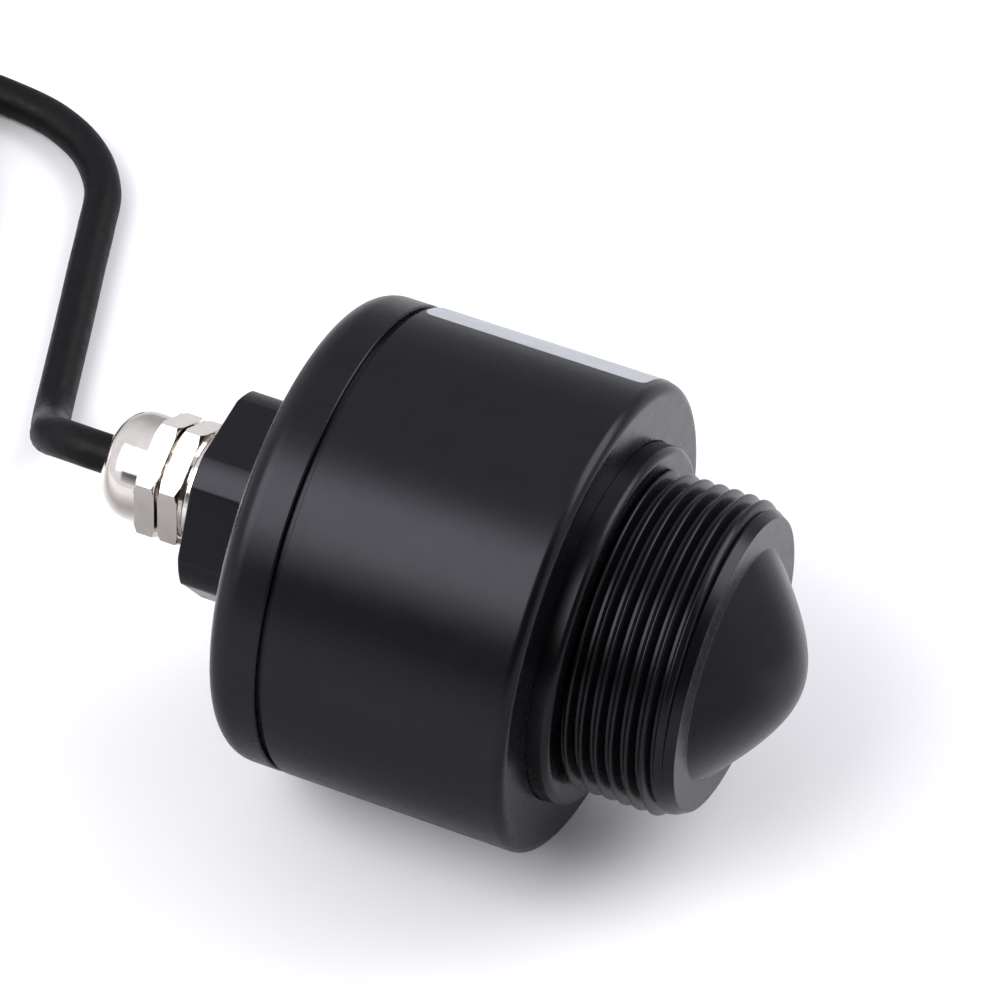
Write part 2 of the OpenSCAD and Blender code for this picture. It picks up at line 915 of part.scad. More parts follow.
// Points of the inner core i, from the end of the jacket to the plug
function inner_core_points(i, steps = 8) =
    let (
        from = [core_place(i).x, core_place(i).y, jacket_end + run_gap],
        to = [plug_at.x, plug_at.y + (i - (cores - 1) / 2) * core_pitch, plug_rear - run_gap]
    )
    [
        for (k = [0:steps])
            let (t = k / steps, ease = t * t * (3 - 2 * t))
                [
                    from.x + (to.x - from.x) * ease,
                    from.y + (to.y - from.y) * ease,
                    from.z + (to.z - from.z) * t
                ]
    ];

module inner_core(i, tint) {
    color(tint)
        along_axis()
            swept_tube(inner_core_points(i), core_d / 2, core_sides, [1, 0, 0]);
}

module red_core() {
    inner_core(0, red);
}

module black_core() {
    inner_core(1, black);
}

module yellow_core() {
    inner_core(2, yellow);
}

module blue_core() {
    inner_core(3, blue);
}

module cable_tube(points) {
    r = cable_d / 2;
    swept_tube(rested(smooth_route(points, cable_steps), r), r, cable_sides, [0, 0, 1]);
}

module cable_lead() {
    color("#1a1a1a")
        cable_tube(lead_points);
}

// The outer shape of the wound cable
module cable_coil() {
    color("#1a1a1a")
        translate([coil_at.x, coil_at.y, 0])
            rotate_extrude()
                difference() {
                    band(coil_bore_r, coil_rim_r, 0, coil_h);
                    round_off([coil_rim_r, coil_h], cable_d / 2, [1, 1]);
                    round_off([coil_bore_r, coil_h], cable_d / 2, [-1, 1]);
                    round_off([coil_rim_r, 0], cable_d / 2, [1, -1]);
                    round_off([coil_bore_r, 0], cable_d / 2, [-1, -1]);
                }
}

module cable_tail() {
    color("#1a1a1a")
        cable_tube(tail_points);
}

// Points of the free core i, from the cut jacket down to the surface
function free_core_points(i, steps = 8) =
    let (
        end = tail_points[len(tail_points) - 1],
        across = core_place(i).y,
        height = end.z + core_place(i).x,
        spread = (i - (cores - 1) / 2) * free_pitch,
        low = max(core_d, ferrule_d) / 2
    )
    [
        for (k = [0:steps])
            let (t = k / steps, ease = t * t * (3 - 2 * t))
                [
                    end.x + across + (spread - across) * ease,
                    end.y - run_gap - (core_l - ferrule_l) * t,
                    height + (low - height) * ease
                ]
    ];

module free_core(i, tint) {
    color(tint)
        swept_tube(free_core_points(i), core_d / 2, core_sides, [0, 0, 1]);
}

module free_red_core() {
    free_core(0, red);
}

module free_black_core() {
    free_core(1, black);
}

module free_yellow_core() {
    free_core(2, yellow);
}

module free_blue_core() {
    free_core(3, blue);
}

module ferrules() {
    color("#c9ccd0")
        for (i = [0:cores - 1])
            let (p = free_core_points(i), last = p[len(p) - 1])
                translate(last - [0, run_gap, 0])
                    rotate([90, 0, 0])
                        cylinder(d = ferrule_d, h = ferrule_l, $fn = 24);
}

housing();
rear_cap();
cap_seal_ring();
antenna_nose();
nose_seal_ring();
nose_ring_nut();
blank_label();
gland_gasket();
gland_body();
gland_collet();
gland_grommet();
gland_nut();
horn();
radar_board();
radar_chip();
processor();
front_posts();
rear_posts();
main_board();
board_screws();
board_header();
power_converter();
storage_capacitors();
surge_arrester();
cable_socket();
cable_plug();
inner_cable();
red_core();
black_core();
yellow_core();
blue_core();
cable_lead();
cable_coil();
cable_tail();
free_red_core();
free_black_core();
free_yellow_core();
free_blue_core();
ferrules();
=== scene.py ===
"""The looks of a compact radar level sensor that lies on its side, built round its fixed frame.

Stations are distances in millimetres from the seam towards the nose, along the sensor's axis.
Angles round the axis run from the top towards the near side.
"""

import json
import math

import bpy
from bpy.props import FloatProperty, FloatVectorProperty, IntProperty, PointerProperty
from mathutils import Matrix, Vector


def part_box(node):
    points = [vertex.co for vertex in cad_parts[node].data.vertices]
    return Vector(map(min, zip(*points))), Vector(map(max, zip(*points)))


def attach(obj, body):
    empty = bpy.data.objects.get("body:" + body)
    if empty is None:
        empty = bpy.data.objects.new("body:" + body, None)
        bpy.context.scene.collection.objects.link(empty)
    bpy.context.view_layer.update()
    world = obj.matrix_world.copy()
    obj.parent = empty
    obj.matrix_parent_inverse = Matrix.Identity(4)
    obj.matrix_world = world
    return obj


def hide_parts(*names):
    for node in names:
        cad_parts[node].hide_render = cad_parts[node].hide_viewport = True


bl_info = {
    "name": "Radar level sensor",
    "version": (1, 0, 0),
    "blender": (4, 5, 0),
    "location": "3D View > Sidebar > Sensor",
    "description": "Dresses the frame of a compact radar level sensor",
    "category": "Object",
}

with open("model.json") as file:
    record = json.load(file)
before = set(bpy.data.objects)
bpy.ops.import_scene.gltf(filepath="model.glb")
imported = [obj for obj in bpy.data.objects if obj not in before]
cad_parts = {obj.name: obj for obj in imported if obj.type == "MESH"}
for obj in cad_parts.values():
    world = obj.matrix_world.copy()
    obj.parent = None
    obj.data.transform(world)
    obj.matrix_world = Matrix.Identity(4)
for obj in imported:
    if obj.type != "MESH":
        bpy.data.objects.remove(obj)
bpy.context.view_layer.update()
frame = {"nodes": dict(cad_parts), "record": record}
housing_low, housing_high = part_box("housing")

MM = 0.001
SEAM_X = housing_low[0]
AXIS_Z = (housing_low[2] + housing_high[2]) / 2
BODY_R = (housing_high[2] - housing_low[2]) / 2 / MM
BODY_L = (housing_high[0] - housing_low[0]) / MM

# In millimetres, how far pieces stand off where they fit, and how far joined shapes overlap
PLAY = 0.05
WIDE_PLAY = 0.15
OVERLAP = 0.5

# Radius of the nose's neck, which stands in the hole of the front wall
NECK_R = 20.35

# Distance in metres under which vertices merge, largest step of an arc, and what edge is sharp
MERGE_GAP = 1e-6
ARC_STEP = math.radians(11)
SHARP_EDGE = math.radians(28)


def in_mm(name, description, default, low, high):
    """A size in millimetres that the panel shows."""
    return FloatProperty(
        name=name, description=description, default=default, min=low, max=high, precision=2,
    )


def in_degrees(name, description, default):
    """An angle, given in degrees, that the panel shows."""
    return FloatProperty(
        name=name, description=description, default=math.radians(default), subtype="ANGLE",
    )


def in_rgb(name, description, default):
    """A linear colour that the panel shows."""
    return FloatVectorProperty(
        name=name, description=description, default=default,
        size=3, min=0.0, max=1.0, subtype="COLOR",
    )


class HousingSizes(bpy.types.PropertyGroup):
    """Sizes of the housing and of its cap."""

    wall: in_mm("Side wall", "Thickness of the side wall", 3.0, 2.5, 3.5)
    front_wall: in_mm("Front wall", "Thickness of the front wall", 4.0, 3.5, 5.0)
    front_round: in_mm("Front edge", "Rounding of the front edge", 1.8, 0.5, 2.8)
    cap: in_mm("Cap", "Thickness of the cap behind the seam", 8.7, 7.0, 12.0)
    cap_round: in_mm("Rear edge", "Rounding of the rear edge", 4.3, 2.0, 6.0)
    seam: in_mm("Seam", "Width and depth of the groove at the seam", 1.0, 0.6, 1.4)
    cap_chamfer: in_mm("Cap chamfer", "Chamfer on the cap's edge of the seam", 0.35, 0.2, 0.6)
    seam_edge: in_mm("Seam edge", "Chamfer on the housing's edge of the seam", 0.1, 0.05, 0.3)
    boss_d: in_mm("Boss", "Diameter of the turned boss", 32.0, 31.0, 34.0)
    boss_across: in_mm("Boss flats", "Distance across the boss's flats", 30.0, 28.0, 30.6)
    boss_turn: in_degrees("Boss turn", "Turn of the boss's flats", 3)
    boss_length: in_mm("Boss length", "Length of the boss", 13.2, 12.0, 16.0)
    steps: IntProperty(
        name="Steps", description="Steps round the turned pieces", default=160, min=48, max=256,
    )


class NoseSizes(bpy.types.PropertyGroup):
    """Sizes of the nose, of its thread and of its lens."""

    collar_d: in_mm("Collar", "Diameter of the sealing collar", 54.0, 53.0, 60.0)
    collar: in_mm("Collar height", "Height of the collar", 3.3, 2.5, 5.0)
    collar_round: in_mm("Collar edge", "Rounding of the collar's front edge", 1.1, 0.4, 2.0)
    seat: in_mm("Seat", "Depth of the seat that the collar is let into", 0.5, 0.3, 1.0)
    nose: in_mm("Nose", "Length from the front face to the flat round the lens", 20.5, 19.0, 26.0)
    face_d: in_mm("Face", "Diameter of the flat round the lens", 44.1, 43.0, 44.6)
    lens_d: in_mm("Lens", "Diameter of the lens at its foot", 35.0, 33.0, 38.0)
    lens_h: in_mm("Lens height", "Height of the lens", 10.3, 9.0, 11.0)
    lens_tip_r: in_mm("Lens tip", "Radius of curvature at the tip", 11.0, 9.0, 12.0)
    thread_d: in_mm("Thread", "Outside diameter of the pipe thread", 47.8, 47.6, 48.0)
    pitch: in_mm("Pitch", "Pitch of the pipe thread", 2.309, 2.2, 2.4)
    depth: in_mm("Thread depth", "Depth of the thread", 1.48, 1.3, 1.5)
    last_turn: in_mm("Last turn", "From the middle of the last turn to the flat", 0.7, 0.5, 2.0)
    crest: in_mm("Crest", "Width of the crest before its edges are rounded", 0.39, 0.3, 0.5)
    crest_round: in_mm("Crest rounding", "Radius of the crest's edges", 0.315, 0.1, 0.317)
    run_out: in_mm("Run-out", "From the collar to the middle of the first turn", 0.34, 0.2, 3.0)
    lead_in: in_mm("Lead-in", "Length of the cone behind the flat", 1.4, 1.0, 2.0)
    start: in_degrees("Start", "Where the thread starts round the axis", -50)


class GlandSizes(bpy.types.PropertyGroup):
    """Sizes of the cable gland."""

    across: in_mm("Flats", "Distance across the flats of the body and the nut", 17.0, 16.0, 18.0)
    body_turn: in_degrees("Body turn", "Turn of the body's flats", 25.5)
    nut_turn: in_degrees("Nut turn", "Turn of the nut's flats", 25.5)
    shoulder: in_mm("Shoulder length", "Length of the round shoulder", 2.9, 2.5, 4.0)
    body_hexagon: in_mm("Body hexagon", "Length of the body's hexagon", 3.2, 2.5, 4.0)
    nut_hexagon: in_mm("Nut hexagon", "Length of the nut's hexagon", 3.3, 2.5, 4.0)
    stub_d: in_mm("Stub", "Diameter of the threaded stub", 15.2, 14.8, 15.6)
    shoulder_d: in_mm("Shoulder", "Diameter of the round shoulder", 16.8, 16.2, 17.6)
    dome_d: in_mm("Dome", "Diameter of the nut's dome", 16.7, 16.4, 17.0)
    dome_end_d: in_mm("Dome end", "Diameter of the dome's end face", 8.4, 8.0, 10.0)


class CableSizes(bpy.types.PropertyGroup):
    """Sizes of the cable and of its cores."""

    diameter: in_mm("Cable", "Diameter of the cable's jacket", 6.0, 5.6, 6.2)
    coil_r: in_mm("Coil", "Radius of the coil's outermost turn", 43.5, 40.0, 50.0)
    core_d: in_mm("Core", "Diameter of each insulated core", 1.2, 1.0, 1.3)


class Finishes(bpy.types.PropertyGroup):
    """Colours of the sensor's finishes."""

    body: in_rgb("Body", "Moulded body", (0.003, 0.0028, 0.0036))
    label: in_rgb("Label", "Blank label", (0.375, 0.387, 0.415))
    metal: in_rgb("Plating", "Nickel plating of the gland", (0.8, 0.755, 0.7))
    jacket: in_rgb("Jacket", "Cable jacket", (0.003, 0.003, 0.0036))
    floor: in_rgb("Floor", "Surface under the sensor", (0.91, 0.9, 0.92))


def sizes(group):
    """The settings of that name, which the panel shows."""
    return getattr(bpy.context.scene, group)


# Modelling helpers

def deselect():
    """Leaves edit mode with nothing selected."""
    if bpy.context.mode != "OBJECT":
        bpy.ops.object.mode_set(mode="OBJECT")
    bpy.ops.object.select_all(action="DESELECT")


def select_only(*pieces):
    """Selects pieces, the first of which becomes the active one."""
    deselect()
    for piece in pieces:
        piece.select_set(True)
    bpy.context.view_layer.objects.active = pieces[0]


def station_of(x):
    """The station of a place along the frame's X."""
    return (x - SEAM_X) / MM


def at(station, radius, angle=0.0):
    """The place in the frame of a station, a radius in millimetres and an angle."""
    return Vector((
        SEAM_X + station * MM,
        -radius * math.sin(angle) * MM,
        AXIS_Z + radius * math.cos(angle) * MM,
    ))


def rounded(corners):
    """The points of a profile; a corner's third number, if it has one, is its rounding."""
    points = []
    last = len(corners) - 1
    for i, corner in enumerate(corners):
        here = Vector(corner[:2])
        radius = corner[2] if len(corner) > 2 else 0
        if not radius or i in (0, last):
            points.append(here)
            continue
        back = (Vector(corners[i - 1][:2]) - here).normalized()
        ahead = (Vector(corners[i + 1][:2]) - here).normalized()
        half = back.angle(ahead) / 2
        reach = radius / math.tan(half)
        centre = here + (back + ahead).normalized() * radius / math.sin(half)
        first = here + back * reach - centre
        swing = first.angle_signed(here + ahead * reach - centre)
        count = max(2, math.ceil(abs(swing) / ARC_STEP))
        for k in range(count + 1):
            points.append(centre + Matrix.Rotation(-swing * k / count, 2) @ first)
    return points


def draw_line(name, places):
    """A new piece in edit mode, all of it selected: one line of edges through the places."""
    deselect()
    bpy.ops.mesh.primitive_plane_add(size=MM, location=(0, 0, 0))
    piece = bpy.context.object
    piece.name = piece.data.name = name
    bpy.ops.object.mode_set(mode="EDIT")
    bpy.ops.mesh.merge(type="CENTER")
    bpy.ops.transform.translate(value=places[0])
    for here, ahead in zip(places, places[1:]):
        bpy.ops.mesh.extrude_region_move(TRANSFORM_OT_translate={"value": ahead - here})
    bpy.ops.mesh.select_all(action="SELECT")
    return piece


def tidy_up():
    """In edit mode, merges doubles and turns all faces outwards."""
    bpy.ops.mesh.select_all(action="SELECT")
    bpy.ops.mesh.remove_doubles(threshold=MERGE_GAP)
    bpy.ops.mesh.normals_make_consistent(inside=False)


def turned(name, corners):
    """A piece turned round the sensor's axis from a profile of stations, radii and roundings."""
    points = rounded(corners)
    piece = draw_line(name, [at(*point) for point in points + points[:1]])
    bpy.ops.mesh.spin(
        steps=sizes("housing_sizes").steps, angle=2 * math.pi,
        center=(0, 0, AXIS_Z), axis=(1, 0, 0),
    )
    tidy_up()
    bpy.ops.object.mode_set(mode="OBJECT")
    return piece


def mill_flats(piece, across, turn, count=6):
    """Cuts flats into a turned piece."""
    select_only(piece)
    bpy.ops.object.mode_set(mode="EDIT")
    for k in range(count):
        angle = turn + 2 * math.pi * k / count
        bpy.ops.mesh.select_all(action="SELECT")
        bpy.ops.mesh.bisect(
            plane_co=at(0, across / 2, angle), plane_no=(0, -math.sin(angle), math.cos(angle)),
            use_fill=True, clear_outer=True,
        )
    tidy_up()
    bpy.ops.object.mode_set(mode="OBJECT")


def apply_modifier(piece, kind, **settings):
    """Adds a modifier to a piece and applies it."""
    select_only(piece)
    bpy.ops.object.modifier_add(type=kind)
    modifier = piece.modifiers[-1]
    for key, value in settings.items():
        setattr(modifier, key, value)
    bpy.ops.object.modifier_apply(modifier=modifier.name)


def ease_edges(piece, width, segments=2):
    """Rounds a piece's sharp edges a little."""
    apply_modifier(
        piece, "BEVEL", width=width * MM, segments=segments,
        limit_method="ANGLE", angle_limit=SHARP_EDGE,
    )


def smooth(piece, angle=32):
    """Shades a piece smooth, with its large faces flat up to their edges."""
    select_only(piece)
    bpy.ops.object.shade_smooth_by_angle(angle=math.radians(angle))
    apply_modifier(piece, "WEIGHTED_NORMAL", mode="FACE_AREA", weight=50, keep_sharp=True)


def join(name, *pieces):
    """Makes one piece of several."""
    select_only(*pieces)
    bpy.ops.object.join()
    piece = bpy.context.object
    piece.name = piece.data.name = name
    return piece


def coat(piece, slot):
    """Gives a piece its finish."""
    piece.data.materials.clear()
    piece.data.materials.append(finish(slot))


def settle(piece, slot, *nodes):
    """Coats a new piece, and lets it stand for its nodes of the frame."""
    coat(piece, slot)
    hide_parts(*nodes)
    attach(piece, "root")


# Finishes

def new_material(name):
    """A new material, its nodes and its shader."""
    material = bpy.data.materials.new(name)
    material.use_nodes = True
    tree = material.node_tree
    return material, tree, tree.nodes["Principled BSDF"]


def noise(tree, scale, detail=4.0, stretch=(1, 1, 1)):
    """A noise on Object coordinates, whose scale is in cells a metre."""
    where = tree.nodes.new("ShaderNodeTexCoord")
    mapping = tree.nodes.new("ShaderNodeMapping")
    mapping.inputs["Scale"].default_value = stretch
    texture = tree.nodes.new("ShaderNodeTexNoise")
    texture.inputs["Scale"].default_value = scale
    texture.inputs["Detail"].default_value = detail
    tree.links.new(where.outputs["Object"], mapping.inputs["Vector"])
    tree.links.new(mapping.outputs["Vector"], texture.inputs["Vector"])
    return texture.outputs["Fac"]


def spread(tree, value, low, high, from_low=0.3, from_high=0.7):
    """Maps a value, as a rule a noise, to a range of values."""
    node = tree.nodes.new("ShaderNodeMapRange")
    node.inputs["From Min"].default_value = from_low
    node.inputs["From Max"].default_value = from_high
    node.inputs["To Min"].default_value = low
    node.inputs["To Max"].default_value = high
    tree.links.new(value, node.inputs["Value"])
    return node.outputs["Result"]


def product(tree, one, other):
    """Multiplies two values."""
    node = tree.nodes.new("ShaderNodeMath")
    node.operation = "MULTIPLY"
    tree.links.new(one, node.inputs[0])
    tree.links.new(other, node.inputs[1])
    return node.outputs["Value"]


def tint(tree, value, colour, down=0.85, up=1.15, from_low=0.3, from_high=0.7):
    """Maps a noise to the shades of a colour, from a darker to a lighter one."""
    ramp = tree.nodes.new("ShaderNodeValToRGB")
    dark, light = ramp.color_ramp.elements
    dark.position, dark.color = from_low, (*(c * down for c in colour), 1)
    light.position, light.color = from_high, (*(min(1, c * up) for c in colour), 1)
    tree.links.new(value, ramp.inputs["Fac"])
    return ramp.outputs["Color"]


def wire_up(tree, shader, colour, rough, height, bump, depth):
    """Joins a colour, a roughness and a bump, whose depth is in millimetres, to the shader."""
    tree.links.new(colour, shader.inputs["Base Color"])
    tree.links.new(rough, shader.inputs["Roughness"])
    relief = tree.nodes.new("ShaderNodeBump")
    relief.inputs["Strength"].default_value = bump
    relief.inputs["Distance"].default_value = depth * MM
    tree.links.new(height, relief.inputs["Height"])
    tree.links.new(relief.outputs["Normal"], shader.inputs["Normal"])


def moulded_plastic(name, colour, rough, wander=0.04, bump=0.12, gloss=0.5, gloss_tint=(1, 1, 1)):
    """Satin moulded plastic: a fine orange peel and a roughness that wanders a little."""
    material, tree, shader = new_material(name)
    shader.inputs["Specular IOR Level"].default_value = gloss
    shader.inputs["Specular Tint"].default_value = (*gloss_tint, 1)
    wire_up(
        tree, shader,
        colour=tint(tree, noise(tree, 160), colour),
        rough=spread(tree, noise(tree, 260, 3), rough - wander, rough + wander),
        height=noise(tree, 2600, 2), bump=bump, depth=0.04,
    )
    return material


def plated_metal(name, colour, rough):
    """Polished plating over a turned surface, with a slight mottle."""
    material, tree, shader = new_material(name)
    shader.inputs["Metallic"].default_value = 1.0
    wire_up(
        tree, shader,
        colour=tint(tree, noise(tree, 300), colour, 0.9, 1.05),
        rough=spread(tree, noise(tree, 900, 3), rough * 0.7, rough * 1.4),
        height=noise(tree, 500, 2, stretch=(14, 1, 1)), bump=0.08, depth=0.03,
    )
    return material


def machined_metal(name, colour, rough):
    """Turned or plated metal of the inner pieces."""
    material, tree, shader = new_material(name)
    shader.inputs["Metallic"].default_value = 1.0
    wire_up(
        tree, shader,
        colour=tint(tree, noise(tree, 400), colour, 0.85, 1.1),
        rough=spread(tree, noise(tree, 700), rough * 0.8, rough * 1.3),
        height=noise(tree, 600, 2, stretch=(10, 1, 1)), bump=0.15, depth=0.03,
    )
    return material


def jacket_plastic(name, colour):
    """Matt cable jacket, with faint marks."""
    material, tree, shader = new_material(name)
    shader.inputs["Specular IOR Level"].default_value = 0.14
    wire_up(
        tree, shader,
        colour=tint(tree, noise(tree, 420), colour, 0.7, 1.4),
        rough=spread(tree, noise(tree, 700), 0.42, 0.6),
        height=noise(tree, 2400, 3), bump=0.25, depth=0.06,
    )
    return material


def rubber(name, colour):
    """Dull rubber of the seals."""
    material, tree, shader = new_material(name)
    wire_up(
        tree, shader,
        colour=tint(tree, noise(tree, 500), colour, 0.7, 1.5),
        rough=spread(tree, noise(tree, 900), 0.6, 0.8),
        height=noise(tree, 3000, 2), bump=0.3, depth=0.05,
    )
    return material


def label_film(name, colour):
    """A pale film with a soft satin face."""
    material, tree, shader = new_material(name)
    wire_up(
        tree, shader,
        colour=tint(tree, noise(tree, 90), colour, 0.96, 1.03),
        rough=spread(tree, noise(tree, 400), 0.3, 0.42),
        height=noise(tree, 1200, 2), bump=0.05, depth=0.03,
    )
    return material


def board_lacquer(name, colour):
    """Green lacquer over tracks that show through faintly."""
    material, tree, shader = new_material(name)
    tracks = noise(tree, 900, 1, stretch=(1, 1, 0.25))
    wire_up(
        tree, shader,
        colour=tint(tree, tracks, colour, 0.75, 1.5, from_low=0.46, from_high=0.54),
        rough=spread(tree, noise(tree, 300), 0.25, 0.4),
        height=tracks, bump=0.2, depth=0.04,
    )
    return material


# The material of each slot: what makes it, its colour or the name that the panel has for it,
# and the settings that its maker takes
FINISHES = {
    "satin_black": (moulded_plastic, "body", {
        "rough": 0.27, "wander": 0.02, "bump": 0.05, "gloss": 0.26, "gloss_tint": (0.9, 0.88, 1.0),
    }),
    "nickel_plate": (plated_metal, "metal", {"rough": 0.1}),
    "label_film": (label_film, "label", {}),
    "cable_jacket": (jacket_plastic, "jacket", {}),
    "black_rubber": (rubber, (0.01, 0.01, 0.01), {}),
    "white_nylon": (moulded_plastic, (0.7, 0.68, 0.62), {"rough": 0.45}),
    "bare_aluminium": (machined_metal, (0.68, 0.68, 0.69), {"rough": 0.32}),
    "gilt_horn": (machined_metal, (0.7, 0.5, 0.24), {"rough": 0.28}),
    "brass_posts": (machined_metal, (0.72, 0.56, 0.28), {"rough": 0.3}),
    "green_board": (board_lacquer, (0.015, 0.11, 0.045), {}),
    "black_package": (moulded_plastic, (0.02, 0.02, 0.022), {"rough": 0.55}),
    "capacitor_sleeve": (moulded_plastic, (0.02, 0.05, 0.13), {"rough": 0.25}),
    "white_ceramic": (moulded_plastic, (0.75, 0.73, 0.68), {"rough": 0.2}),
    "plated_steel": (machined_metal, (0.6, 0.61, 0.63), {"rough": 0.3}),
    "tinned_copper": (machined_metal, (0.75, 0.75, 0.76), {"rough": 0.3}),
    "red_insulation": (moulded_plastic, (0.42, 0.015, 0.012), {"rough": 0.35}),
    "black_insulation": (moulded_plastic, (0.012, 0.012, 0.012), {"rough": 0.35}),
    "yellow_insulation": (moulded_plastic, (0.65, 0.42, 0.015), {"rough": 0.35}),
    "blue_insulation": (moulded_plastic, (0.015, 0.07, 0.36), {"rough": 0.35}),
}


def finish(slot):
    """The finish of a slot, made once and named apart from the frame's own plain material."""
    name = f"{slot}_finish"
    material = bpy.data.materials.get(name)
    if material is None:
        make, colour, settings = FINISHES[slot]
        if isinstance(colour, str):
            colour = getattr(sizes("finishes"), colour)
        material = make(name, tuple(colour), **settings)
    return material


# Camera and cable, which come first

# Where the photograph was taken from, solved from the sensor's outlines; the lens and the film
# are in millimetres
CAMERA_PLACE = (0.2559, -0.55024, 0.7101)
CAMERA_TURN = (math.radians(90 - 47.387), 0, math.radians(24.307))
CAMERA_LENS = 226.5
CAMERA_FILM = 36

# Route of the cable in millimetres, as the part's source has it
LEAD = [
    (-54.35, 0, 35.5), (-56.35, 0, 35.5), (-58.35, 0, 35.5), (-61.7, 0.7, 34.7), (-65, 2.1, 33),
    (-67.5, 4.1, 30.5), (-69.9, 8.2, 26.1), (-72.8, 13.1, 20.5), (-75.6, 18.1, 14.9),
    (-78, 22.1, 10.4), (-80.1, 25.8, 6.2), (-82.3, 30.7, 3.6), (-84.3, 36.8, 3.1),
    (-86.7, 44.5, 3), (-89.4, 53.1, 3), (-92.1, 61.6, 3), (-94.6, 69.7, 3), (-97.6, 78, 3),
    (-103.2, 84.5, 3), (-111.2, 88.8, 3), (-121.6, 90.7, 3), (-134, 91, 3),
]
TAIL = [
    (-201.5, 38.5, 8.7), (-201.5, 30.5, 6.9), (-201.5, 23.3, 4.7), (-201.5, 16, 3.4),
    (-201.5, 8, 3), (-201.5, 0, 3),
]

# The coil: its middle, the turns in each of its layers, the points to a turn, and the part of
# a turn over which it climbs to the upper layer
COIL_MIDDLE = (-158, 47.5)
COIL_TURNS = 4
COIL_POINTS = 16
COIL_CLIMB = 0.5

# The four cores: half the distance between them in the jacket, then their length, the distance
# between their ends and their stand-off from the cut jacket
CORE_COLOURS = ("red", "black", "yellow", "blue")
CORE_GRID = 0.95
CORE_BARE = 32.15
CORE_PITCH = 3.2
CORE_GAP = 0.15
CORE_STEPS = 8


class SENSOR_OT_camera(bpy.types.Operator):
    """Places the camera where the photograph was taken from"""

    bl_idname = "sensor.camera"
    bl_label = "Camera"

    def execute(self, context):
        deselect()
        bpy.ops.object.camera_add(location=CAMERA_PLACE, rotation=CAMERA_TURN)
        camera = context.object
        camera.name = "camera"
        camera.data.lens = CAMERA_LENS
        camera.data.sensor_width = CAMERA_FILM
        camera.data.clip_end = 20
        context.scene.camera = camera
        return {"FINISHED"}


def coil_points(coil_r, diameter):
    """Two layers of turns: the lower spirals inwards, the upper, a quarter turn more, outwards."""
    points = []
    lower = COIL_TURNS * COIL_POINTS
    upper = lower + COIL_POINTS // 4
    for k in range(1, lower + upper):
        angle = math.pi / 2 + 2 * math.pi * k / COIL_POINTS
        turns = k / COIL_POINTS
        inward = max(0, min(turns, 2 * COIL_TURNS - turns))
        ring = coil_r - diameter * min(inward, COIL_TURNS - 1)
        climb = min(1, max(0, turns - COIL_TURNS + COIL_CLIMB) / COIL_CLIMB)
        points.append((
            COIL_MIDDLE[0] + ring * math.cos(angle),
            COIL_MIDDLE[1] + ring * math.sin(angle),
            diameter * (0.5 + climb),
        ))
    return points


def smooth_curve(name, points, radius, floor=None):
    """A round cord along points in millimetres, kept above the floor if one is given."""
    places = [Vector(p) * MM for p in points]
    curve = bpy.data.curves.new(name, "CURVE")
    curve.dimensions = "3D"
    curve.resolution_u = 10
    curve.bevel_depth = radius * MM
    curve.bevel_resolution = 7
    curve.use_fill_caps = True
    spline = curve.splines.new("BEZIER")
    spline.bezier_points.add(len(places) - 1)
    for k, (knot, place) in enumerate(zip(spline.bezier_points, places)):
        back = place - places[k - 1] if k else places[1] - place
        ahead = places[k + 1] - place if k + 1 < len(places) else back
        course = back.normalized() * ahead.length + ahead.normalized() * back.length
        slope = course.normalized() / 3
        knot.co = place
        knot.handle_left_type = knot.handle_right_type = "FREE"
        knot.handle_left = place - slope * back.length
        knot.handle_right = place + slope * ahead.length
        if floor is not None:
            knot.handle_left.z = max(knot.handle_left.z, floor * MM)
            knot.handle_right.z = max(knot.handle_right.z, floor * MM)
    cord = bpy.data.objects.new(name, curve)
    bpy.context.scene.collection.objects.link(cord)
    return cord


class SENSOR_OT_cable(bpy.types.Operator):
    """Lays the cable from the gland over the surface into its coil, with its four bare cores"""

    bl_idname = "sensor.cable"
    bl_label = "Cable"

    def execute(self, context):
        size = sizes("cable_sizes")
        radius = size.diameter / 2
        route = LEAD + coil_points(size.coil_r, size.diameter) + TAIL
        cable = smooth_curve("cable", route, radius, floor=radius)
        ends = [self.core(i, size.core_d / 2) for i in range(len(CORE_COLOURS))]
        settle(cable, "cable_jacket", "cable_lead", "cable_coil", "cable_tail")
        return {"FINISHED"}

    def core(self, i, radius):
        """One core, from its place in the cut jacket, two above two, down to the surface."""
        x, y, z = TAIL[-1]
        across = CORE_GRID * (-1 if i < 2 else 1)
        up = CORE_GRID * (-1 if i in (0, 3) else 1)
        apart = (i - 1.5) * CORE_PITCH
        points = []
        for k in range(CORE_STEPS + 1):
            t = k / CORE_STEPS
            ease = t * t * (3 - 2 * t)
            points.append((
                x + across + (apart - across) * ease,
                y - CORE_GAP - (CORE_BARE - CORE_GAP) * t,
                z + up + (radius - z - up) * ease,
            ))
        colour = CORE_COLOURS[i]
        core = smooth_curve(f"free_{colour}", points, radius)
        settle(core, f"{colour}_insulation", f"free_{colour}_core")
        return core


# Housing, cap and label

